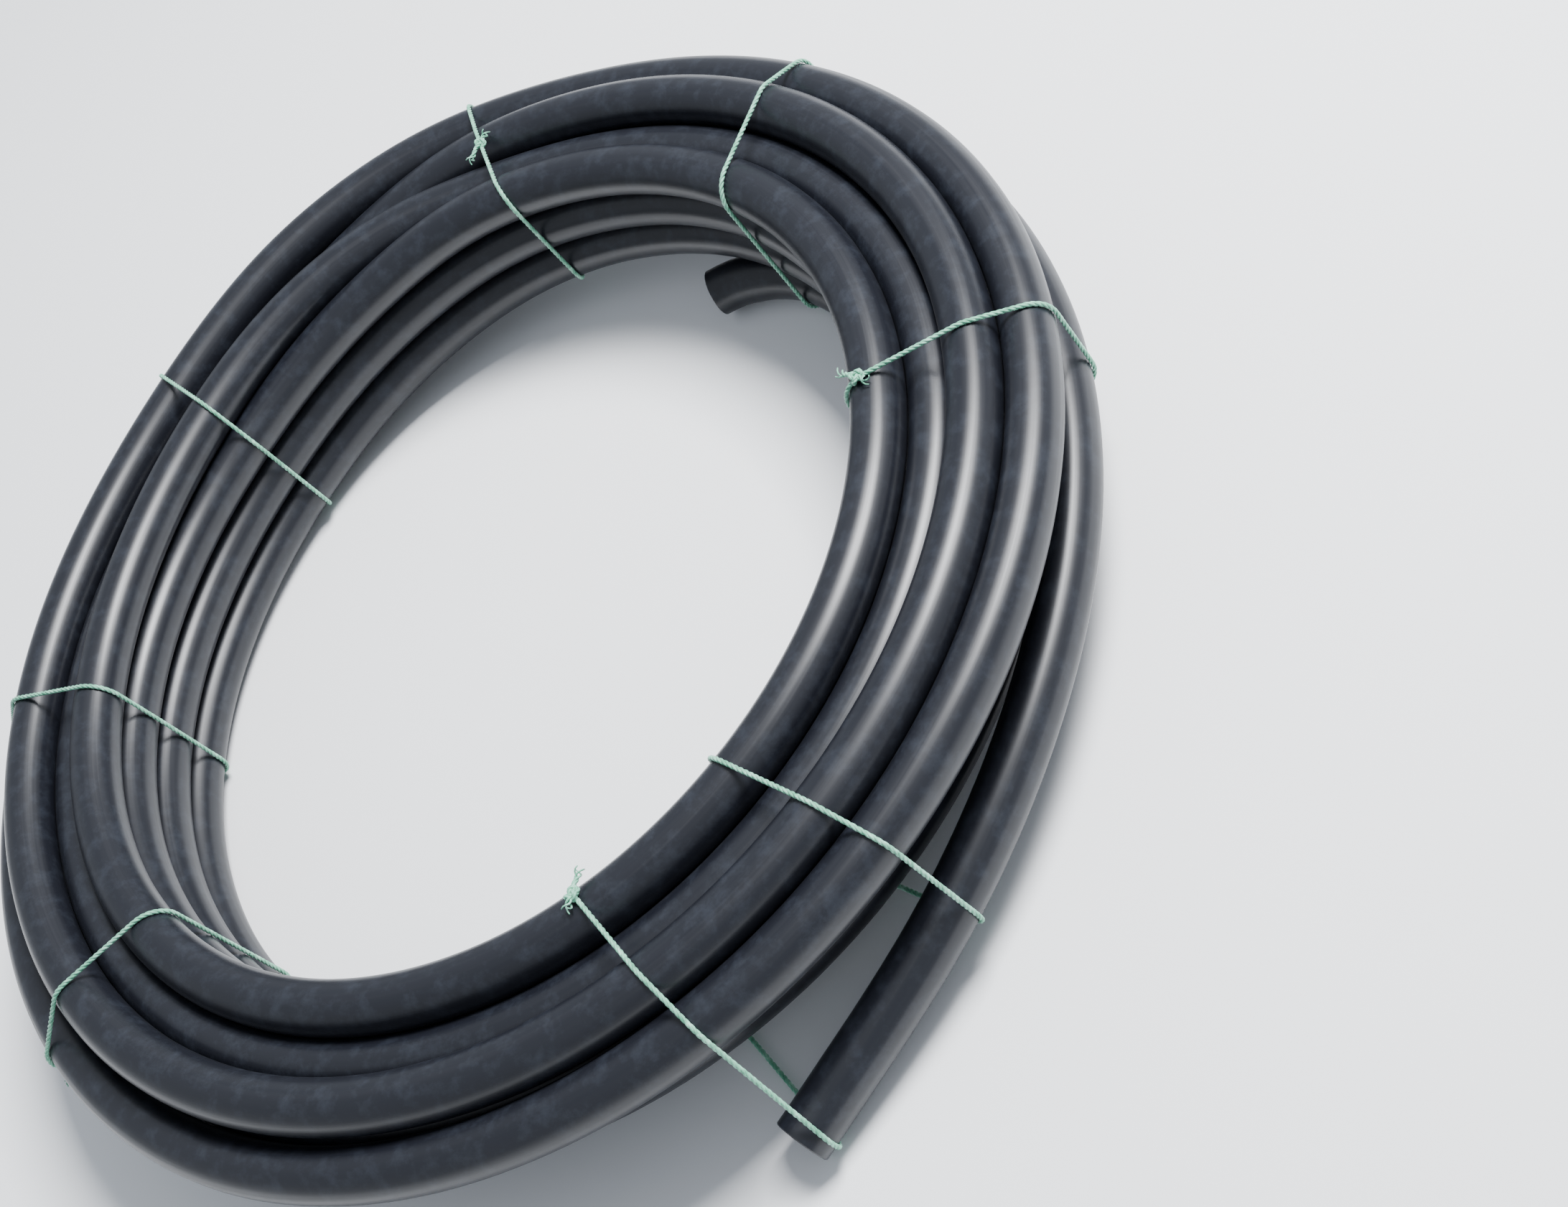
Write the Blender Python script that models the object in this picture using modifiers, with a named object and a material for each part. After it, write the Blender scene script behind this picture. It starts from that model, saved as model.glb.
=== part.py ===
"""A tied coil of 32 mm polyethylene irrigation hose, lying flat on the face that was its back.

Metres, +Z up. The origin is on the ground at the coil's centre. The hose is wound in about eleven turns,
four rows high and four columns wide. Its turns are one turned ring of their outer shape, and its two cut
ends are tubes of their own. Nine lengths of baler twine are knotted round the bundle.

Azimuths are in degrees from +X, clockwise as seen from above, which is the way the hose is wound.
"""
import math

import bmesh
import bpy
from mathutils import Matrix, Vector

# ---- Driving dimensions ----
HOSE_OD = 0.032
HOSE_WALL = 0.0029
COIL_CLEARANCE = 0.540       # width of the coil's open middle
ROWS = 4                     # turns above each other in a full column
COLUMN_STEP = 0.867          # spacing of the nested columns, in hose diameters
COLUMNS = 4
TWINE = 0.0030               # diameter of the baler twine
GAP = 0.0003                 # between pieces that touch

# ---- Sizes that follow from them ----
HOSE_R = HOSE_OD / 2
TWINE_R = TWINE / 2
LAID = GAP + TWINE_R                                   # centre of twine that lies on a surface
LIFT = TWINE + GAP                                     # the lowest turns lie on the twine
R_INNER = COIL_CLEARANCE / 2
R_TURN = R_INNER + HOSE_R                              # centreline of the innermost turns
COLUMN = COLUMN_STEP * HOSE_OD
R_OUTER = R_TURN + (COLUMNS - 1) * COLUMN + HOSE_R + GAP
HEIGHT = ROWS * HOSE_OD + LIFT
R_FOOT = R_TURN + COLUMN                               # where the flat underside ends
R_CROWN = R_OUTER - HOSE_OD                            # where the flat front face ends
SIDE_FOOT = 1.25 * HOSE_OD                             # the upright outer side runs from this height
SIDE_TOP = HEIGHT - 0.75 * HOSE_OD                     # up to this one
RING_STEPS = 64
ARC_STEPS = 3
FACET = R_INNER * (1 - math.cos(math.pi / RING_STEPS))   # how far the inner wall's facets stand in
TUBE_RESOLUTION = 3
TWINE_RESOLUTION = 2
TAIL_RESOLUTION = 1

# The ring's outline as corners (radius, height, rounding), from the inner foot round to the inner crown.
RING_CORNERS = [
    (R_INNER, 0.0, 0.012),
    (R_FOOT, 0.0, 0.012),
    (R_OUTER, SIDE_FOOT, 0.012),
    (R_OUTER, SIDE_TOP, 0.014),
    (R_CROWN, HEIGHT, 0.014),
    (R_INNER, HEIGHT, 0.015),
]

# ---- Routes of the two ends: (azimuth in degrees, radius, height) ----
LOW = HOSE_R + LIFT + GAP
OUTER_END_ROUTE = [
    (32.0, R_TURN + 2.62 * HOSE_OD, 0.0510),
    (36.0, R_TURN + 2.80 * HOSE_OD, 0.0420),
    (40.0, R_TURN + 3.05 * HOSE_OD, 0.0315),
    (44.0, R_TURN + 3.34 * HOSE_OD, 0.0240),
    (48.0, R_TURN + 3.65 * HOSE_OD, 0.0205),
    (51.2, R_TURN + 3.90 * HOSE_OD, LOW),
]
INNER_END_ROUTE = [
    (-44.0, R_TURN, LOW),
    (-51.0, R_TURN, LOW),
    (-58.0, R_TURN, LOW),
    (-65.0, R_TURN - 0.10 * HOSE_OD, LOW),
    (-70.0, R_TURN - 0.38 * HOSE_OD, LOW),
    (-75.0, R_TURN - 0.90 * HOSE_OD, LOW),
]
BORE_DEPTH = 0.045           # how far each cut end is shown hollow
END_STEPS = 16

# ---- Ties: azimuth in degrees at the inner wall and at the outer wall, and where the knot sits ----
TIES = {
    "tie_1": (121.3, 126.0, "outer"),
    "tie_2": (163.2, 167.0, "outer"),
    "tie_3": (207.7, 208.5, "outer"),
    "tie_4": (261.7, 253.5, "crown"),
    "tie_5": (301.3, 295.2, "outer"),
    "tie_6": (345.2, 342.2, "front"),
    "tie_7": (33.7, 30.5, "inner"),
    "tie_8": (54.8, 50.0, "front"),
}
INNER_TIE = ("tie_9", 100.5)
TIGHT = 0.004                # rounding of the twine's bends at the coil's foot
WIDE = 0.014                 # and of its bends round the loose end of the hose
KNOT_SIZE = (0.0044, 0.0036, 0.0030)   # half sizes: along the twine, across it, off the surface
TAIL_LENGTHS = (0.010, 0.015)
TAIL_LEAN = 0.9              # how far the short ends lean along the tie
TAIL_RISE = 0.0006           # their distance off the surface grows by this at each stop
TAIL_R = 0.85 * TWINE_R
SLOT_WIDTH = 0.0060
SHARP_ANGLE = 40.0

# ---- Materials: colour, roughness, metallic ----
HOSE_LOOK = ("black_polyethylene", (0.020, 0.022, 0.026, 1.0), 0.38, 0.0)
TWINE_LOOK = ("green_twine", (0.42, 0.62, 0.50, 1.0), 0.55, 0.0)


def clear_scene():
    for obj in list(bpy.data.objects):
        bpy.data.objects.remove(obj)


def new_collection(name):
    collection = bpy.data.collections.new(name)
    bpy.context.scene.collection.children.link(collection)
    return collection


def material(name, colour, roughness, metallic):
    made = bpy.data.materials.new(name)
    made.use_nodes = True
    shader = made.node_tree.nodes["Principled BSDF"]
    shader.inputs["Base Color"].default_value = colour
    shader.inputs["Roughness"].default_value = roughness
    shader.inputs["Metallic"].default_value = metallic
    made.diffuse_color = colour
    return made


def polar(azimuth, radius, height):
    """The point at this azimuth in degrees, distance from the coil's axis and height."""
    angle = -math.radians(azimuth)
    return Vector((radius * math.cos(angle), radius * math.sin(angle), height))


def rounded(corners):
    """Points of a closed outline in (radius, height), with each corner turned into an arc."""
    points = []
    for i, (x, y, rounding) in enumerate(corners):
        corner = Vector((x, y))
        before = (Vector(corners[i - 1][:2]) - corner).normalized()
        after = (Vector(corners[(i + 1) % len(corners)][:2]) - corner).normalized()
        half = before.angle(after) / 2
        centre = corner + (before + after).normalized() * (rounding / math.sin(half))
        start = corner + before * (rounding / math.tan(half)) - centre
        sweep = start.angle_signed(corner + after * (rounding / math.tan(half)) - centre)
        for k in range(ARC_STEPS + 1):
            turn = -sweep * k / ARC_STEPS
            points.append(centre + Vector((
                start.x * math.cos(turn) - start.y * math.sin(turn),
                start.x * math.sin(turn) + start.y * math.cos(turn),
            )))
    return points


def grown(corners, distance):
    """The outline's corners moved outward, so that each side lies this far from where it was."""
    moved = []
    for i, (x, y, rounding) in enumerate(corners):
        corner = Vector((x, y))
        along_in = (corner - Vector(corners[i - 1][:2])).normalized()
        along_out = (Vector(corners[(i + 1) % len(corners)][:2]) - corner).normalized()
        normal_in = Vector((along_in.y, -along_in.x))
        normal_out = Vector((along_out.y, -along_out.x))
        middle = (normal_in + normal_out).normalized()
        shift = middle * (distance / middle.dot(normal_in))
        moved.append((corner.x + shift.x, corner.y + shift.y, rounding + distance))
    return moved


def smooth_route(route, steps):
    """Points along a Catmull-Rom curve through the route, evenly shared between its spans."""
    knots = [polar(*stop) for stop in route]
    knots = [2 * knots[0] - knots[1]] + knots + [2 * knots[-1] - knots[-2]]
    spans = len(knots) - 3
    points = []
    for k in range(steps + 1):
        position = k / steps * spans
        i = min(int(position), spans - 1)
        t = position - i
        a, b, c, d = knots[i:i + 4]
        points.append(0.5 * (
            2 * b + (c - a) * t + (2 * a - 5 * b + 4 * c - d) * t ** 2 + (3 * b - a - 3 * c + d) * t ** 3
        ))
    return points


def stretched(points, before, after):
    """The same line of points, with its first and last point moved out along it."""
    first = points[0] + (points[0] - points[1]).normalized() * before
    last = points[-1] + (points[-1] - points[-2]).normalized() * after
    return [first] + points[1:-1] + [last]


def tube(name, points, radius, collection, resolution, closed=False):
    """A mesh tube along the points, capped at both ends unless it is a closed loop."""
    curve = bpy.data.curves.new(name, "CURVE")
    curve.dimensions = "3D"
    curve.bevel_depth = radius
    curve.bevel_resolution = resolution
    curve.use_fill_caps = not closed
    spline = curve.splines.new("POLY")
    spline.points.add(len(points) - 1)
    for spot, point in zip(spline.points, points):
        spot.co = (*point, 1.0)
    spline.use_cyclic_u = closed
    guide = bpy.data.objects.new(name + "_guide", curve)
    collection.objects.link(guide)
    bpy.context.view_layer.update()
    mesh = bpy.data.meshes.new_from_object(guide.evaluated_get(bpy.context.evaluated_depsgraph_get()))
    bpy.data.objects.remove(guide)
    shape = bmesh.new()
    shape.from_mesh(mesh)
    bmesh.ops.remove_doubles(shape, verts=shape.verts, dist=1e-6)
    bmesh.ops.recalc_face_normals(shape, faces=shape.faces)
    shape.to_mesh(mesh)
    shape.free()
    made = bpy.data.objects.new(name, mesh)
    collection.objects.link(made)
    return made


def turned_ring(name, outline, collection):
    """A ring turned about the Z axis from a closed outline."""
    mesh = bpy.data.meshes.new(name)
    downward = list(reversed(outline))
    edges = [(i, (i + 1) % len(downward)) for i in range(len(downward))]
    mesh.from_pydata([(point.x, 0.0, point.y) for point in downward], edges, [])
    made = bpy.data.objects.new(name, mesh)
    collection.objects.link(made)
    screw = made.modifiers.new("turn", "SCREW")
    screw.steps = RING_STEPS
    screw.render_steps = RING_STEPS
    screw.use_merge_vertices = True
    screw.merge_threshold = 0.0001
    return made


def cut(target, cutter, operation="DIFFERENCE"):
    cutter.hide_render = True
    cutter.display_type = "WIRE"
    boolean = target.modifiers.new(operation.lower() + "_" + cutter.name, "BOOLEAN")
    boolean.operation = operation
    boolean.object = cutter


def slot_under(name, azimuths, collection):
    """A bar that cuts the groove in the coil's underside where a tie passes below it."""
    start = on_tie(R_INNER - 0.01, 0.0, azimuths)
    end = on_tie(R_OUTER, 0.0, azimuths)
    length = (end - start).length
    bpy.ops.mesh.primitive_cube_add(size=1.0, location=(start + end) / 2)
    bar = bpy.context.object
    bar.name = name
    bar.scale = (length, SLOT_WIDTH, 2 * LIFT)
    bar.rotation_euler.z = math.atan2(end.y - start.y, end.x - start.x)
    for holder in list(bar.users_collection):
        holder.objects.unlink(bar)
    collection.objects.link(bar)
    return bar


def on_tie(radius, height, azimuths):
    """The point at this radius and height in a tie's upright plane, which may cross the bundle askew."""
    start = polar(azimuths[0], R_INNER, 0.0)
    run = polar(azimuths[1], R_OUTER, 0.0) - start
    a = run.dot(run)
    b = start.dot(run)
    c = start.dot(start) - radius ** 2
    point = start + run * ((math.sqrt(b * b - a * c) - b) / a)
    return Vector((point.x, point.y, height))


def tie_bed():
    """The ring's corners with the underside raised into the grooves, where the twine runs."""
    groove = LAID + TWINE_R
    foot = R_FOOT + groove * (R_OUTER - R_FOOT) / SIDE_FOOT + 2 * GAP
    inner_wall = R_INNER - FACET
    underside = [(inner_wall, groove, TIGHT - GAP), (foot, groove, TIGHT)]
    return underside + RING_CORNERS[2:5] + [(inner_wall, *RING_CORNERS[5][1:])]


def end_tie_bed():
    """The bed of the tie that also takes in the outer end of the hose, lying beside the coil."""
    groove = LAID + TWINE_R
    reach = OUTER_END_ROUTE[-1][1] + 0.95 * HOSE_R
    outer_side = [(reach, groove, WIDE), (reach, groove + 1.05 * HOSE_OD, WIDE)]
    return tie_bed()[:1] + outer_side + tie_bed()[3:]


def inner_tie_corners():
    """The outline of the tie round the three lower turns of the innermost column."""
    inside = R_INNER - FACET - LAID
    between = R_TURN + 0.5 * COLUMN + TWINE_R
    top = HEIGHT - HOSE_OD - TWINE
    corners = [(inside, TWINE_R), (between, TWINE_R), (between, top), (inside, top)]
    return [(*corner, TIGHT + TWINE_R) for corner in corners]


def knot_stop(place):
    """Where on a tie's bed the knot sits, as (radius, height)."""
    return {
        "outer": (R_OUTER, 0.55 * HEIGHT),
        "front": (R_TURN, HEIGHT),
        "crown": (R_TURN + 2 * COLUMN, HEIGHT),
        "inner": (R_INNER, 0.45 * HEIGHT),
    }[place]


def make_tie(name, corners, azimuths, place, parts, helpers):
    """One length of twine: the loop round the bundle, its knot and the two short ends."""
    outline = rounded(corners)
    loop = [on_tie(point.x, point.y, azimuths) for point in outline]
    tie = tube(name, loop, TWINE_R, parts, TWINE_RESOLUTION, closed=True)

    radius, height = knot_stop(place)
    offset = {"outer": (LAID, 0.0), "inner": (-LAID, 0.0)}.get(place, (0.0, LAID))
    seat = on_tie(radius + offset[0], height + offset[1], azimuths)
    radial = Vector((seat.x, seat.y, 0.0)).normalized()
    around = Vector((-radial.y, radial.x, 0.0))
    up = Vector((0.0, 0.0, 1.0))
    outward, along = {"outer": (radial, up), "inner": (-radial, up)}.get(place, (up, radial))
    rise = outward * (KNOT_SIZE[2] - TWINE_R)

    bpy.ops.mesh.primitive_uv_sphere_add(segments=10, ring_count=6, radius=1.0, location=seat + rise)
    knot = bpy.context.object
    knot.name = name + "_knot"
    knot.scale = KNOT_SIZE
    axes = (along, outward.cross(along), outward)
    knot.rotation_euler = Matrix(axes).transposed().to_euler()
    for holder in list(knot.users_collection):
        holder.objects.unlink(knot)
    helpers.objects.link(knot)
    cut(tie, knot, "UNION")

    for side, length in zip((-1, 1), TAIL_LENGTHS):
        lean = ((around + along * TAIL_LEAN) * side).normalized()
        route = [
            seat + rise,
            seat + rise + lean * length / 3,
            seat + outward * TAIL_RISE + lean * length * 2 / 3,
            seat + outward * 2 * TAIL_RISE + lean * length,
        ]
        end = tube(f"{name}_end_{side + 2}", route, TAIL_R, helpers, TAIL_RESOLUTION)
        cut(tie, end, "UNION")
    return tie


def make_hose_end(name, route, parts, helpers):
    """A stretch of hose along a route, with its far end cut square and hollow; and its cutter."""
    points = smooth_route(route, END_STEPS)
    hose = tube(name, points, HOSE_R, parts, TUBE_RESOLUTION)
    covered = 0.0
    inside = [points[-1]]
    while covered < BORE_DEPTH:
        nearer = points[-1 - len(inside)]
        covered += (nearer - inside[0]).length
        inside.insert(0, nearer)
    bore = tube(name + "_bore", stretched(inside, 0.0, 0.01), HOSE_R - HOSE_WALL, helpers, TUBE_RESOLUTION)
    cut(hose, bore)
    room = tube(name + "_room", stretched(points, GAP, 0.03), HOSE_R + GAP, helpers, TUBE_RESOLUTION)
    return hose, room


def finish(obj, look):
    obj.data.materials.clear()
    obj.data.materials.append(look)
    obj.data.shade_smooth()
    obj.data.set_sharp_from_angle(angle=math.radians(SHARP_ANGLE))


def main():
    clear_scene()
    parts = new_collection("tied_hose_coil")
    helpers = new_collection("cutters")
    helpers.hide_render = True
    black = material(*HOSE_LOOK)
    green = material(*TWINE_LOOK)

    coil = turned_ring("hose_coil", rounded(RING_CORNERS), parts)
    hoses = [coil]
    for name, route in (("hose_outer_end", OUTER_END_ROUTE), ("hose_inner_end", INNER_END_ROUTE)):
        hose, room = make_hose_end(name, route, parts, helpers)
        cut(coil, room)
        hoses.append(hose)

    ties = []
    for name, (azimuth_in, azimuth_out, place) in TIES.items():
        azimuths = (azimuth_in, azimuth_out)
        cut(coil, slot_under(name + "_slot", azimuths, helpers))
        bed = end_tie_bed() if name == "tie_8" else tie_bed()
        ties.append(make_tie(name, grown(bed, LAID), azimuths, place, parts, helpers))

    name, azimuth = INNER_TIE
    corners = inner_tie_corners()
    tunnel_path = [polar(azimuth, point.x, point.y) for point in rounded(corners)]
    cut(coil, tube(name + "_tunnel", tunnel_path, LAID + GAP, helpers, TWINE_RESOLUTION, closed=True))
    ties.append(make_tie(name, corners, (azimuth, azimuth), "inner", parts, helpers))

    for obj in hoses:
        finish(obj, black)
    for obj in ties:
        finish(obj, green)


main()
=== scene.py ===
"""Looks of the tied coil of irrigation hose: the wound hose, its twine ties, their materials and the light.

Metres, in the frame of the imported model: the coil lies flat, +Z up, with its middle at the origin.
Azimuths are in degrees from +X, clockwise as seen from above, which is the way the hose is wound.
"""
import math

import bpy
import numpy as np
from mathutils import Matrix, Vector


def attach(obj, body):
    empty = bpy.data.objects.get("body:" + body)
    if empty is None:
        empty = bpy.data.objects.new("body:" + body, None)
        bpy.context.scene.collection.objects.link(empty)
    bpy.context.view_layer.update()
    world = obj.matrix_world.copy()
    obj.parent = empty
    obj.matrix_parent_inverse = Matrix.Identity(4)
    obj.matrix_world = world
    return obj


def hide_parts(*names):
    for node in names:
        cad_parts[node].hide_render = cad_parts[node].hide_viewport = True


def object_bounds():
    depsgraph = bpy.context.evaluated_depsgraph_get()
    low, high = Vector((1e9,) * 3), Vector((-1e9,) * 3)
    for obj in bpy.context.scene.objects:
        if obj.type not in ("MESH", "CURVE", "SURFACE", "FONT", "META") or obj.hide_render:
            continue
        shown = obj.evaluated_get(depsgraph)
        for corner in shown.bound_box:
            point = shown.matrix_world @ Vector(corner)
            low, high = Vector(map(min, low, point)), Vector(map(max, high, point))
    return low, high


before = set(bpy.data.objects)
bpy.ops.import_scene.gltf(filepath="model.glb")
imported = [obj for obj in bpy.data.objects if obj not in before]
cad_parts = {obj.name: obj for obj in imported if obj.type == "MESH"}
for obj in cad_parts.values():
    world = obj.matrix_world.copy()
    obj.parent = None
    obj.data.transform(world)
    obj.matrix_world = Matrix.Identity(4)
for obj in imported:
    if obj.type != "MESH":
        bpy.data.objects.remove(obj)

CAD_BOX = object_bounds()

# ---- The hose and its winding, as in part.py ----
HOSE_OD = 0.032
HOSE_WALL = 0.0029
TWINE = 0.0030
GAP = 0.0003
HOSE_R = HOSE_OD / 2
TWINE_R = TWINE / 2
LIFT = TWINE + GAP
R_INNER = 0.270
R_TURN = R_INNER + HOSE_R
COLUMN_STEP = 0.867
ROWS = 4
LOW = HOSE_R + LIFT + GAP

# The two ends of the hose: azimuth in degrees, radius, height.
OUTER_END_ROUTE = [
    (32.0, R_TURN + 2.62 * HOSE_OD, 0.0510),
    (36.0, R_TURN + 2.80 * HOSE_OD, 0.0420),
    (40.0, R_TURN + 3.05 * HOSE_OD, 0.0315),
    (44.0, R_TURN + 3.34 * HOSE_OD, 0.0240),
    (48.0, R_TURN + 3.65 * HOSE_OD, 0.0205),
    (51.2, R_TURN + 3.90 * HOSE_OD, LOW),
]
INNER_END_ROUTE = [
    (-75.0, R_TURN - 0.90 * HOSE_OD, LOW),
    (-70.0, R_TURN - 0.38 * HOSE_OD, LOW),
    (-65.0, R_TURN - 0.10 * HOSE_OD, LOW),
    (-58.0, R_TURN, LOW),
    (-51.0, R_TURN, LOW),
    (-44.0, R_TURN, LOW),
]

# Where each turn lies, from the hose's inner end: column outward, row down from the front face.
SLOTS = [
    (0, 3), (0, 2), (0, 1), (0, 0),
    (1, 0.5), (1, 1.5), (1, 2.5),
    (2, 2), (2, 1), (2, 0),
    (3, 0.5), (3, 1.5),
]
# Where a turn of the front face wanders off its place: azimuth, distance out and down in hose diameters.
WANDER = {
    4: [(-20, 0.90, 0.37), (10, 0.90, 0.37), (90, 0.83, 0.56)],
    7: [(-20, 1.73, 2.0), (60, 1.60, 2.0), (120, 1.50, 2.1), (185, 1.75, 2.6)],
    8: [(-20, 1.73, 1.1), (60, 1.65, 1.0), (120, 1.60, 1.1), (185, 1.75, 1.6)],
    9: [(-20, 1.87, 0.20), (10, 1.87, 0.20), (90, 1.65, 0.0), (120, 1.55, 0.0), (160, 1.55, 0.0),
        (200, 1.55, 0.35)],
    10: [(-70, 2.20, 0.5), (-20, 2.70, 0.22), (10, 2.70, 0.22), (90, 2.15, 0.85), (125, 1.95, 1.1),
         (160, 2.10, 1.1), (200, 2.20, 1.2)],
    11: [(-130, 2.50, 1.3), (-70, 2.50, 1.5), (-20, 2.60, 1.95), (10, 2.61, 1.98)],
}
STEP_UP = (-95.0, 185.0)     # between these azimuths a turn keeps its place, then it steps to the next
TURN_STATIONS = 120          # stations along each turn where the winding is settled
FINER = 2                    # rings of the tube for each station
HOSE_SIDES = 24
CUT_EDGE = 0.0006            # rounding of the edges of a cut face
BORE_DEPTH = 0.09            # how far the bore runs into each end
HELD_FROM = OUTER_END_ROUTE[3][0]    # from this azimuth the outer end keeps to its route

# ---- How the turns settle against each other ----
SEED = 7
SWEEPS = 400
SETTLING = 0.75              # share of the sweeps in which a turn is still drawn to its place
SPACING = 1.004              # centre distance of touching turns, in hose diameters
PUSH = 0.35                  # share of an overlap taken away in one sweep
PULL = 0.04                  # share of the way back to its place in one sweep
STIFFNESS = (0.45, 0.15)     # how strongly a bend evens out while settling, and after
LOOSE_WAVES = 24
LOOSENESS = 0.00035          # size of the waves that make the turns look wound by hand
BLEND_REACH = 8              # stations over which a step between places is smoothed
LAST_REACH = 3               # the same, for the last pass along the whole hose
ABOVE_FACE = 0.001           # how far a turn may rise over the front face

# ---- Ties: azimuth at the inner wall and at the outer side, and where the knot sits ----
TIES = {
    "tie_1": (121.3, 126.0, "outer"),
    "tie_2": (163.2, 167.0, "outer"),
    "tie_3": (207.7, 208.5, "outer"),
    "tie_4": (261.7, 253.5, "crown"),
    "tie_5": (301.3, 295.2, "outer"),
    "tie_6": (345.2, 342.2, "front"),
    "tie_7": (33.7, 30.5, "inner"),
    "tie_8": (54.8, 50.0, "front"),
    "tie_9": (100.5, 100.5, "inner"),
}

# ---- Twine: twisted strands, the knot and the two ends of each tie ----
STRANDS = 3
STRAND_SIDES = 7
STRAND_R = 0.00082
LAY_R = 0.00068              # distance of a strand from the middle of the twine
LAY_LENGTH = 0.011           # length of one full twist
TWINE_SPACING = 0.0011
LOOP_SPACING = 0.0015
TAIL_LENGTHS = (0.010, 0.015)
TAIL_LEAN = 0.9
FRAY = 0.008                 # length of a tail over which its strands come apart
FRAY_SPREAD = 0.0022
FRAY_THINNING = 0.55
KNOT_SIZE = 0.00135
KNOT_DEPTH = 0.0013
KNOT_RISE = 0.0016
KNOT_OUTER_HEIGHT = 0.072
KNOT_INNER_HEIGHT = 0.060
KNOT_FRONT_OUT = 0.013
KNOT_CROWN_OUT = 0.066
REACH = 0.125                # how far out a tie looks for turns to hold
REACH_END = 0.19             # the same for the tie that also holds the loose end

# ---- Camera ----
CAMERA_PLACE = (0.887, -0.5945, 1.0088)
CAMERA_LOOK = (-0.52463, 0.44022, -0.72868)
CAMERA_UP = (0.07829, 0.87725, 0.47361)
LENS = 52.5
SENSOR = 36.0


def polar(azimuth, radius, height):
    """The point at this azimuth in degrees, distance from the coil's axis and height."""
    angle = -math.radians(azimuth)
    return Vector((radius * math.cos(angle), radius * math.sin(angle), height))


def row_height(row):
    """Height of the middle of a hose in this row, counted down from the front face."""
    return (ROWS - 0.5 - row) * HOSE_OD + LIFT


# ---------------------------------------------------------------- camera

def make_camera():
    """The camera, which looks down into the ring from one side."""
    data = bpy.data.cameras.new("camera")
    data.lens = LENS
    data.sensor_width = SENSOR
    data.dof.use_dof = False
    data.clip_start = 0.01
    camera = bpy.data.objects.new("camera", data)
    bpy.context.scene.collection.objects.link(camera)
    look = Vector(CAMERA_LOOK).normalized()
    right = look.cross(Vector(CAMERA_UP)).normalized()
    turn = Matrix((right, right.cross(look), -look)).transposed().to_4x4()
    camera.matrix_world = Matrix.Translation(CAMERA_PLACE) @ turn
    bpy.context.scene.camera = camera


# ---------------------------------------------------------------- winding

def winding_plan():
    """Stops along the whole winding: azimuth counted on from the inner end, radius, height."""
    stops = list(INNER_END_ROUTE)
    last = len(SLOTS) - 1
    for turn, (column, row) in enumerate(SLOTS):
        seat = (column * COLUMN_STEP, row)
        wander = WANDER.get(turn, [])
        local = []
        if turn > 0 and (not wander or wander[0][0] > STEP_UP[0]):
            local.append((STEP_UP[0], *seat))
        local += wander
        if turn < last and (not wander or wander[-1][0] < STEP_UP[1]):
            local.append((STEP_UP[1], *seat))
        for azimuth, out, down in local:
            stops.append((azimuth + 360 * turn, R_TURN + out * HOSE_OD, row_height(down)))
    for azimuth, radius, height in OUTER_END_ROUTE:
        stops.append((azimuth + 360 * last, radius, height))
    return np.array(stops)


def smoothed(values, reach, fixed):
    """The values averaged with their neighbours, except the fixed ones."""
    kernel = np.hanning(2 * reach + 3)
    kernel /= kernel.sum()
    padded = np.pad(values, reach + 1, mode="edge")
    result = np.convolve(padded, kernel, mode="valid")
    return np.where(fixed, values, result)


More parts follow.
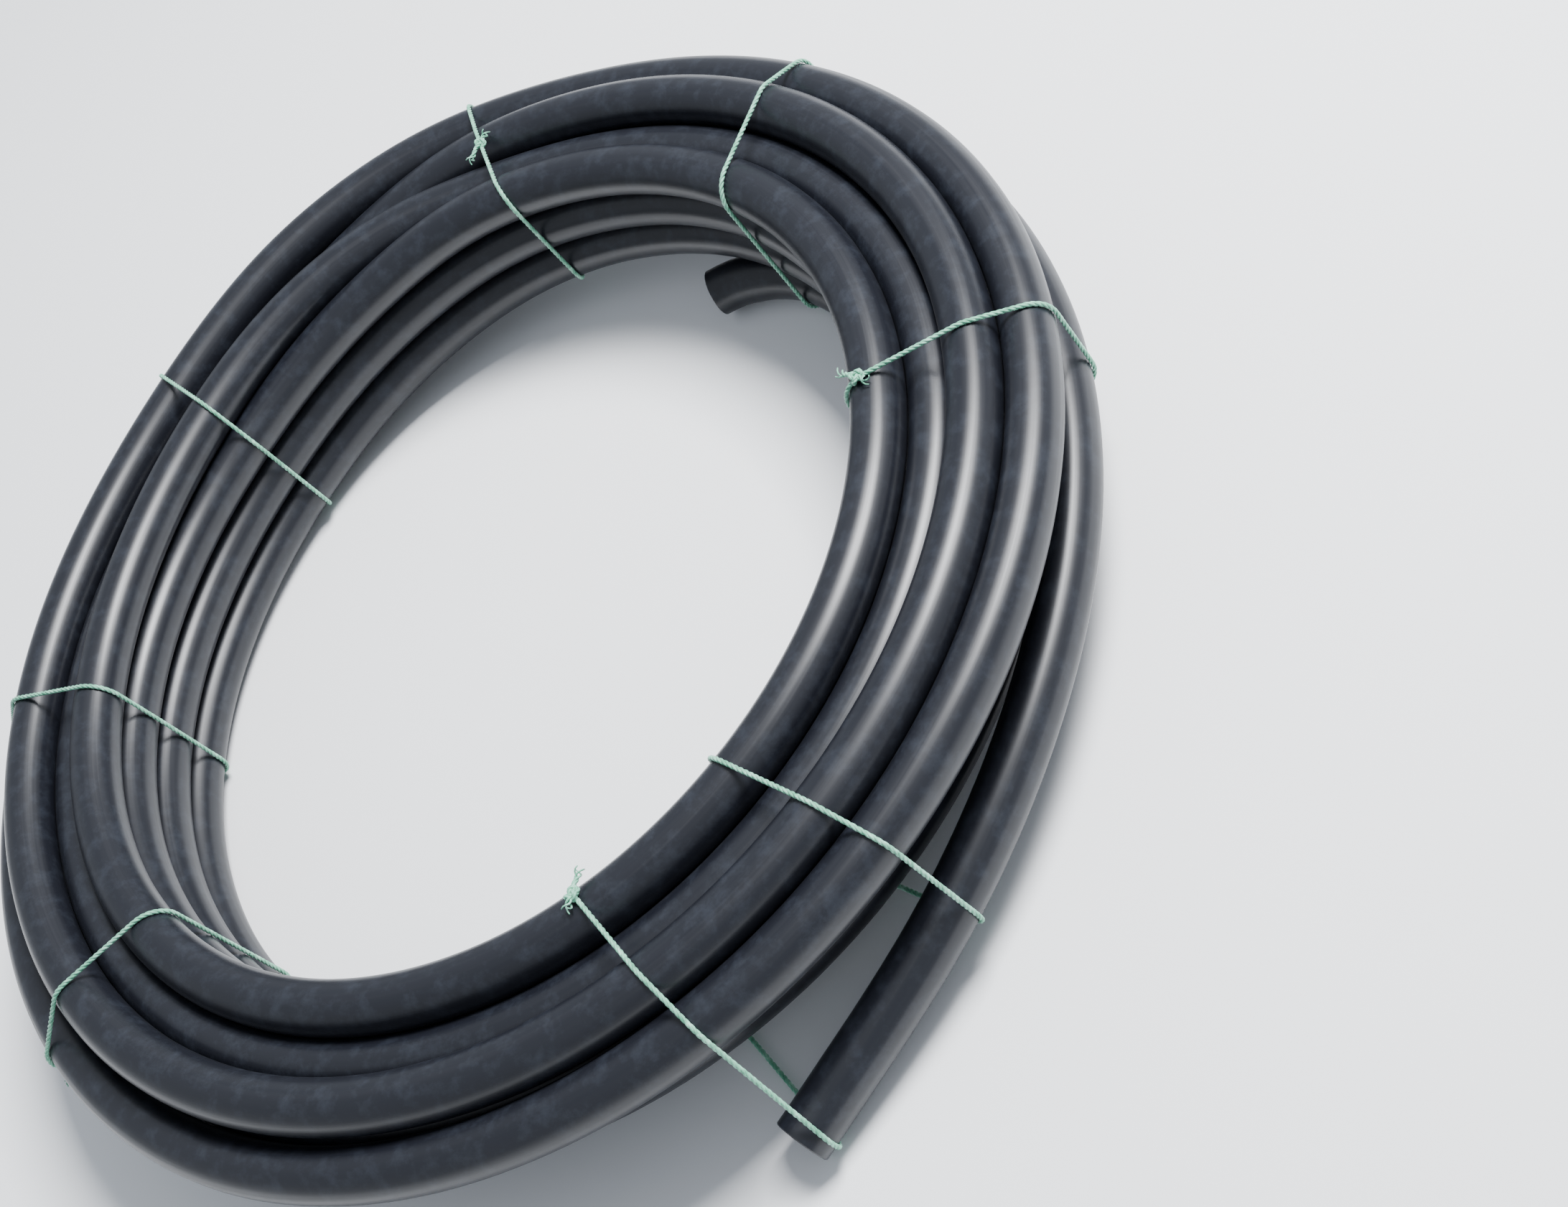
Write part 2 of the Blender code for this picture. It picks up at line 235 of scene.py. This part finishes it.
def winding():
    """Radius and height at each station of the hose, with no turn lying in another."""
    stops = winding_plan()
    step = 360.0 / TURN_STATIONS
    start, end = stops[0, 0], stops[-1, 0]
    count = int(round((end - start) / step)) + 1
    azimuth = start + step * np.arange(count)
    held = (azimuth <= INNER_END_ROUTE[-1][0]) | (azimuth >= HELD_FROM + 360 * (len(SLOTS) - 1))
    radius = smoothed(np.interp(azimuth, stops[:, 0], stops[:, 1]), BLEND_REACH, held)
    height = smoothed(np.interp(azimuth, stops[:, 0], stops[:, 2]), BLEND_REACH, held)

    rng = np.random.default_rng(SEED)
    loose = np.zeros((2, count))
    for _ in range(LOOSE_WAVES):
        turns_per_wave = rng.uniform(0.17, 0.9)
        phase, size = rng.uniform(0, 2 * math.pi, 2), rng.uniform(0.2, 1.0, 2)
        for axis in range(2):
            loose[axis] += size[axis] * np.sin(np.radians(azimuth) / turns_per_wave + phase[axis])
    loose *= LOOSENESS * np.where(held, 0.0, 1.0)
    target = np.stack([radius, height]) + loose

    place = target.copy()
    turns = -(-count // TURN_STATIONS)
    upper = np.triu(np.ones((turns, turns), bool), 1)[:, :, None]
    for sweep in range(SWEEPS):
        free = sweep < SWEEPS * SETTLING
        grid = np.full((2, turns * TURN_STATIONS), np.nan)
        grid[:, :count] = place
        grid = grid.reshape(2, turns, TURN_STATIONS)
        apart = grid[:, None, :, :] - grid[:, :, None, :]
        distance = np.sqrt((apart ** 2).sum(0))
        short = np.where(upper & (distance < HOSE_OD * SPACING), HOSE_OD * SPACING - distance, 0.0)
        short = np.nan_to_num(short)
        push = np.nan_to_num(apart / np.maximum(distance, 1e-6)) * short * PUSH
        moved = (push.sum(1) - push.sum(2)).reshape(2, -1)[:, :count]
        place = np.where(held, place, place + moved)
        if free:
            place = np.where(held, place, place + PULL * (target - place))
        bend = np.zeros_like(place)
        bend[:, 1:-1] = place[:, 2:] + place[:, :-2] - 2 * place[:, 1:-1]
        place = np.where(held, place, place + (STIFFNESS[0] if free else STIFFNESS[1]) * bend)
        place[0] = np.where(held, place[0], np.maximum(place[0], R_TURN))
        place[1] = np.where(held, place[1], np.clip(place[1], HOSE_R + LIFT, row_height(0) + ABOVE_FACE))
    ends = np.zeros(count, bool)
    ends[:2] = ends[-2:] = True
    place = np.stack([smoothed(values, LAST_REACH, ends) for values in place])
    return azimuth, place


def finer(values, times):
    """Catmull-Rom values between the given ones."""
    padded = np.concatenate([[2 * values[0] - values[1]], values, [2 * values[-1] - values[-2]]])
    result = []
    for k in range(times):
        t = k / times
        a, b, c, d = padded[:-3], padded[1:-2], padded[2:-1], padded[3:]
        result.append(0.5 * (
            2 * b + (c - a) * t + (2 * a - 5 * b + 4 * c - d) * t ** 2 + (3 * b - a - 3 * c + d) * t ** 3
        ))
    return np.append(np.stack(result, 1).reshape(-1), values[-1])


def hose_line():
    """Centres of the hose's rings, from the inner cut end to the outer one."""
    azimuth, (radius, height) = winding()
    azimuth = -np.radians(finer(azimuth, FINER))
    radius = finer(radius, FINER)
    height = finer(height, FINER)
    return np.stack([radius * np.cos(azimuth), radius * np.sin(azimuth), height], 1)


# ---------------------------------------------------------------- tube meshes

def directions(line):
    """Unit vectors along the line."""
    along = np.gradient(line, axis=0)
    along /= np.linalg.norm(along, axis=1)[:, None]
    return along


def carried_frames(line, first=(0.0, 0.0, 1.0)):
    """Along, side and up vectors carried along the line without twist."""
    along = directions(line)
    up = np.array(first, float)
    sides, ups = [], []
    for t in along:
        up = up - t * up.dot(t)
        norm = np.linalg.norm(up)
        if norm < 1e-6:
            up = np.cross(t, (1.0, 0.0, 0.0))
            norm = np.linalg.norm(up)
        up = up / norm
        ups.append(up)
        sides.append(np.cross(up, t))
    return along, np.array(sides), np.array(ups)


def mesh_object(name, points, faces):
    """A new mesh object, linked to the scene."""
    mesh = bpy.data.meshes.new(name)
    mesh.from_pydata([tuple(p) for p in points], [], faces)
    mesh.update()
    made = bpy.data.objects.new(name, mesh)
    bpy.context.scene.collection.objects.link(made)
    return made


def tube_faces(rings, sides, offset=0):
    """Quads between the rings, and a cap at each end."""
    faces = []
    for i in range(rings - 1):
        low = offset + i * sides
        for j in range(sides):
            k = (j + 1) % sides
            faces.append((low + j, low + k, low + sides + k, low + sides + j))
    faces.append(tuple(offset + j for j in reversed(range(sides))))
    top = offset + (rings - 1) * sides
    faces.append(tuple(top + j for j in range(sides)))
    return faces


def make_hose(line):
    """The whole hose as one closed mesh: the outer skin, both cut faces and the ends of the bore."""
    along, side, up = carried_frames(line)
    travelled = np.concatenate([[0.0], np.cumsum(np.linalg.norm(np.diff(line, axis=0), axis=1))])
    deep = int(np.searchsorted(travelled, BORE_DEPTH))
    back = len(line) - 1 - int(np.searchsorted(travelled, travelled[-1] - BORE_DEPTH))
    last = len(line) - 1
    bore = HOSE_R - HOSE_WALL
    edge = CUT_EDGE
    rings = []
    rings += [(i, bore, 0.0) for i in range(deep, 0, -1)]
    rings += [(0, bore, edge), (0, bore + edge, 0.0), (0, HOSE_R - edge, 0.0), (0, HOSE_R, edge)]
    rings += [(i, HOSE_R, 0.0) for i in range(1, last)]
    rings += [(last, HOSE_R, -edge), (last, HOSE_R - edge, 0.0)]
    rings += [(last, bore + edge, 0.0), (last, bore, -edge)]
    rings += [(i, bore, 0.0) for i in range(last - 1, last - back, -1)]
    turn = np.linspace(0, 2 * math.pi, HOSE_SIDES, endpoint=False)
    points, along_hose = [], []
    for i, radius, shift in rings:
        centre = line[i] + along[i] * shift
        ring = centre + radius * (np.outer(np.cos(turn), side[i]) + np.outer(np.sin(turn), up[i]))
        points.append(ring)
        travel = np.full(HOSE_SIDES, travelled[i] + shift)
        along_hose.append(np.stack([travel, radius * np.cos(turn), radius * np.sin(turn)], 1))
    made = mesh_object("hose", np.concatenate(points), tube_faces(len(rings), HOSE_SIDES))
    stretch = made.data.attributes.new("along", "FLOAT_VECTOR", "POINT")
    stretch.data.foreach_set("vector", np.concatenate(along_hose).astype(np.float32).ravel())
    made.data.shade_smooth()
    made.data.set_sharp_from_angle(angle=math.radians(40))
    return made


# ---------------------------------------------------------------- ties

def crossings(line, azimuths, reach):
    """Where the hose crosses the tie's upright plane: distance out, height, half width and turn."""
    start = polar(azimuths[0], R_INNER, 0.0)
    run = polar(azimuths[1], CAD_BOX[1].x, 0.0) - start
    out = np.array(run.normalized())
    square = np.array([-out[1], out[0], 0.0])
    offset = line - np.array(start)
    ahead = offset @ square
    found = []
    for i in np.nonzero(ahead[:-1] * ahead[1:] < 0)[0]:
        share = ahead[i] / (ahead[i] - ahead[i + 1])
        spot = offset[i] + (offset[i + 1] - offset[i]) * share
        if not -0.04 < spot @ out < reach:
            continue
        step = line[i + 1] - line[i]
        slant = abs(step @ square) / np.linalg.norm(step[:2])
        found.append((spot @ out, line[i][2], HOSE_R / slant, i))
    return start, out, found


def taut(found, grow):
    """The twine's way round those crossings, as if pulled tight: distance out and height."""
    angles = np.linspace(0, 2 * math.pi, 48, endpoint=False)
    dots = []
    for out, height, half, _ in found:
        for a in angles:
            dots.append((out + (half + grow) * math.cos(a), height + (HOSE_R + grow) * math.sin(a)))
    dots = sorted(dots)

    def half_hull(ordered):
        hull = []
        for dot in ordered:
            while len(hull) > 1 and (
                (hull[-1][0] - hull[-2][0]) * (dot[1] - hull[-2][1])
                - (hull[-1][1] - hull[-2][1]) * (dot[0] - hull[-2][0])
            ) <= 0:
                hull.pop()
            hull.append(dot)
        return hull[:-1]

    return np.array(half_hull(dots) + half_hull(dots[::-1]))


def resampled(points, spacing, closed=False):
    """Points at an even spacing along the same line."""
    points = np.asarray(points, float)
    if closed:
        points = np.vstack([points, points[:1]])
    travelled = np.concatenate([[0.0], np.cumsum(np.linalg.norm(np.diff(points, axis=0), axis=1))])
    count = max(4, int(round(travelled[-1] / spacing)))
    at = np.linspace(0.0, travelled[-1], count + 1)
    if closed:
        at = at[:-1]
    return np.stack([np.interp(at, travelled, points[:, k]) for k in range(points.shape[1])], 1)


def twisted(line, closed, twist_start=0.0, fray=None):
    """Points and faces of strands twisted together along the line."""
    line = resampled(line, TWINE_SPACING, closed)
    ring = np.vstack([line, line[:1]]) if closed else line
    along, side, up = carried_frames(ring)
    length = TWINE_SPACING * (len(ring) - 1)
    twists = max(1, round(length / LAY_LENGTH)) if closed else length / LAY_LENGTH
    miss = 0.0
    if closed:
        miss = math.atan2(up[-1] @ side[0], up[-1] @ up[0])
    share = np.linspace(0.0, 1.0, len(ring))
    points, faces = [], []
    section = np.linspace(0, 2 * math.pi, STRAND_SIDES, endpoint=False)
    for strand in range(STRANDS):
        angle = twist_start + 2 * math.pi * (strand / STRANDS + share * twists) + share * miss
        spread = np.full(len(ring), LAY_R)
        thick = np.full(len(ring), STRAND_R)
        if fray is not None:
            opening = np.clip((share * length - (length - fray)) / fray, 0.0, 1.0)
            spread = spread + FRAY_SPREAD * opening ** 1.5
            thick = thick * (1.0 - FRAY_THINNING * opening)
        centre = ring + spread[:, None] * (np.cos(angle)[:, None] * side + np.sin(angle)[:, None] * up)
        _, s_side, s_up = carried_frames(centre)
        offset = sum(len(p) for p in points)
        block = (
            centre[:, None, :]
            + thick[:, None, None] * (
                np.cos(section)[None, :, None] * s_side[:, None, :]
                + np.sin(section)[None, :, None] * s_up[:, None, :]
            )
        )
        points.append(block.reshape(-1, 3))
        faces += tube_faces(len(ring), STRAND_SIDES, offset)
    return np.concatenate(points), faces


def smooth_line(points):
    """A smooth curve through a few points."""
    points = np.asarray(points, float)
    times = 12
    line = np.stack([finer(points[:, k], times) for k in range(3)], 1)
    return resampled(line, LOOP_SPACING)


def make_tie(name, line, azimuths, place, rng):
    """One length of twine: the taut loop, its knot and the two short ends."""
    reach = REACH_END if name == "tie_8" else REACH
    start, out, found = crossings(line, azimuths, reach)
    if name == "tie_9":
        found = [f for f in found if f[0] < HOSE_OD and f[1] < row_height(0.5)]
    loop = taut(found, TWINE_R)
    loop = resampled(loop, LOOP_SPACING, closed=True)

    def lifted(pairs):
        return np.array([np.array(start) + out * s + np.array([0, 0, h]) for s, h in pairs])

    points, faces = twisted(lifted(loop), True)
    blocks = [(points, faces)]

    middle = loop.mean(0)
    want = {
        "outer": (loop[:, 0].max(), KNOT_OUTER_HEIGHT),
        "front": (KNOT_FRONT_OUT, loop[:, 1].max()),
        "crown": (KNOT_CROWN_OUT, loop[:, 1].max()),
        "inner": (loop[:, 0].min(), KNOT_INNER_HEIGHT),
    }[place]
    at = int(np.argmin(((loop - np.array(want)) ** 2).sum(1)))
    tangent = loop[(at + 1) % len(loop)] - loop[at - 1]
    tangent /= np.linalg.norm(tangent)
    normal = np.array([tangent[1], -tangent[0]])
    if normal @ (loop[at] - middle) < 0:
        normal = -normal
    seat = lifted([loop[at]])[0]
    t3 = out * tangent[0] + np.array([0, 0, tangent[1]])
    n3 = out * normal[0] + np.array([0, 0, normal[1]])
    s3 = np.cross(t3, n3)

    s = np.linspace(0, 2 * math.pi, 60, endpoint=False)
    trefoil = np.stack([
        KNOT_SIZE * (np.cos(s) - 2 * np.cos(2 * s)),
        KNOT_SIZE * (np.sin(s) + 2 * np.sin(2 * s)),
        -KNOT_DEPTH * np.sin(3 * s),
    ], 1)
    knot = seat + n3 * KNOT_RISE + trefoil[:, :1] * t3 + trefoil[:, 1:2] * s3 + trefoil[:, 2:] * n3
    blocks.append(twisted(knot, True))
    for sign, length in zip((-1, 1), TAIL_LENGTHS):
        lean = (s3 + TAIL_LEAN * t3) * sign
        lean /= np.linalg.norm(lean)
        curl = rng.uniform(-0.12, 0.12) * t3
        tail = smooth_line([
            seat + n3 * 0.0012,
            seat + n3 * 0.0022 + lean * 0.35 * length,
            seat + n3 * 0.0012 + (lean + curl * 0.6) * 0.7 * length,
            seat + n3 * 0.0016 + (lean + curl) * length,
        ])
        blocks.append(twisted(tail, False, rng.uniform(0, 6.28), fray=FRAY))

    all_points, all_faces, offset = [], [], 0
    for block_points, block_faces in blocks:
        all_points.append(block_points)
        all_faces += [tuple(i + offset for i in face) for face in block_faces]
        offset += len(block_points)
    made = mesh_object(name + "_twine", np.concatenate(all_points), all_faces)
    made.data.shade_smooth()
    return made


# ---------------------------------------------------------------- materials

def node(tree, kind, **values):
    """A new node with these properties or input values."""
    made = tree.nodes.new(kind)
    for key, value in values.items():
        if hasattr(made, key):
            setattr(made, key, value)
        else:
            made.inputs[key].default_value = value
    return made


def ramp(tree, source, stops):
    """Colours between these stops, driven by the source."""
    made = tree.nodes.new("ShaderNodeValToRGB")
    made.color_ramp.elements[0].position = stops[0][0]
    made.color_ramp.elements[0].color = stops[0][1]
    made.color_ramp.elements[1].position = stops[-1][0]
    made.color_ramp.elements[1].color = stops[-1][1]
    for position, colour in stops[1:-1]:
        made.color_ramp.elements.new(position).color = colour
    tree.links.new(source, made.inputs["Fac"])
    return made.outputs["Color"]


def grey(value):
    return (value, value, value, 1.0)


def polyethylene():
    """Extruded black polyethylene: a soft sheen, faint lines along the hose, scuffs and a film of dust."""
    made = bpy.data.materials.new("black_polyethylene")
    made.use_nodes = True
    tree = made.node_tree
    shader = tree.nodes["Principled BSDF"]
    shader.inputs["Specular IOR Level"].default_value = 0.5
    shader.inputs["IOR"].default_value = 1.5
    place = node(tree, "ShaderNodeAttribute", attribute_name="along")
    stretched = node(tree, "ShaderNodeMapping")
    stretched.inputs["Scale"].default_value = (3.0, 240.0, 240.0)
    tree.links.new(place.outputs["Vector"], stretched.inputs["Vector"])
    lines = node(tree, "ShaderNodeTexNoise", Scale=1.0, Detail=3.0, Roughness=0.6)
    tree.links.new(stretched.outputs["Vector"], lines.inputs["Vector"])
    spots = node(tree, "ShaderNodeTexNoise", Scale=70.0, Detail=8.0, Roughness=0.7)
    tree.links.new(place.outputs["Vector"], spots.inputs["Vector"])
    scuff = ramp(tree, spots.outputs["Fac"], [(0.48, grey(0.0)), (0.78, grey(1.0))])

    colour = node(tree, "ShaderNodeMix", data_type="RGBA")
    colour.inputs["A"].default_value = (0.007, 0.008, 0.012, 1.0)
    colour.inputs["B"].default_value = (0.020, 0.024, 0.033, 1.0)
    tree.links.new(scuff, colour.inputs["Factor"])
    tree.links.new(colour.outputs["Result"], shader.inputs["Base Color"])
    rough = ramp(tree, lines.outputs["Fac"], [(0.3, grey(0.30)), (0.7, grey(0.44))])
    tree.links.new(rough, shader.inputs["Roughness"])
    bump = node(tree, "ShaderNodeBump", Strength=0.12, Distance=0.0004)
    tree.links.new(lines.outputs["Fac"], bump.inputs["Height"])
    tree.links.new(bump.outputs["Normal"], shader.inputs["Normal"])
    return made


def twine_material():
    """Pale green polypropylene twine: a fine grain of small bumps, a satin sheen and uneven colour."""
    made = bpy.data.materials.new("green_twine")
    made.use_nodes = True
    tree = made.node_tree
    shader = tree.nodes["Principled BSDF"]
    shader.inputs["Sheen Weight"].default_value = 0.25
    shader.inputs["Roughness"].default_value = 0.5
    place = node(tree, "ShaderNodeTexCoord")
    spots = node(tree, "ShaderNodeTexNoise", Scale=220.0, Detail=4.0, Roughness=0.6)
    tree.links.new(place.outputs["Object"], spots.inputs["Vector"])
    colour = ramp(tree, spots.outputs["Fac"], [
        (0.30, (0.07, 0.31, 0.18, 1.0)), (0.55, (0.20, 0.51, 0.35, 1.0)), (0.75, (0.46, 0.76, 0.61, 1.0)),
    ])
    tree.links.new(colour, shader.inputs["Base Color"])
    bump = node(tree, "ShaderNodeBump", Strength=0.3, Distance=0.0003)
    tree.links.new(spots.outputs["Fac"], bump.inputs["Height"])
    tree.links.new(bump.outputs["Normal"], shader.inputs["Normal"])
    return made


# ---------------------------------------------------------------- floor and light

def make_floor():
    """A plain pale floor just under the coil."""
    bpy.ops.mesh.primitive_plane_add(size=12.0, location=(0.0, 0.0, -0.0005))
    floor = bpy.context.object
    floor.name = "floor"
    made = bpy.data.materials.new("pale_floor")
    made.use_nodes = True
    shader = made.node_tree.nodes["Principled BSDF"]
    shader.inputs["Base Color"].default_value = (0.92, 0.93, 0.94, 1.0)
    shader.inputs["Roughness"].default_value = 0.9
    floor.data.materials.append(made)


def area_light(name, place, aim, size, power, colour):
    data = bpy.data.lights.new(name, "AREA")
    data.shape = "RECTANGLE"
    data.size, data.size_y = size
    data.energy = power
    data.color = colour
    light = bpy.data.objects.new(name, data)
    light.location = place
    light.rotation_euler = (Vector(aim) - Vector(place)).to_track_quat("-Z", "Y").to_euler()
    bpy.context.scene.collection.objects.link(light)


def make_light():
    """Even pale surroundings and one large soft light."""
    world = bpy.data.worlds.new("studio")
    world.use_nodes = True
    world.node_tree.nodes["Background"].inputs["Color"].default_value = (0.80, 0.86, 0.95, 1.0)
    world.node_tree.nodes["Background"].inputs["Strength"].default_value = 0.72
    bpy.context.scene.world = world
    area_light("sky", (1.15, 1.20, 2.50), (0.0, 0.0, 0.1), (1.1, 1.1), 260.0, (0.97, 0.98, 1.0))


# ---------------------------------------------------------------- making

make_camera()
hose_centres = hose_line()
hose = make_hose(hose_centres)
hose_look = polyethylene()
hose.data.materials.append(hose_look)
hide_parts("hose_coil", "hose_outer_end", "hose_inner_end")
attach(hose, "root")

twine_look = twine_material()
for number, (tie_name, (azimuth_in, azimuth_out, knot_place)) in enumerate(TIES.items()):
    tie_rng = np.random.default_rng(number)
    tie = make_tie(tie_name, hose_centres, (azimuth_in, azimuth_out), knot_place, tie_rng)
    tie.data.materials.append(twine_look)
    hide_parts(tie_name)
    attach(tie, "root")

make_floor()
make_light()
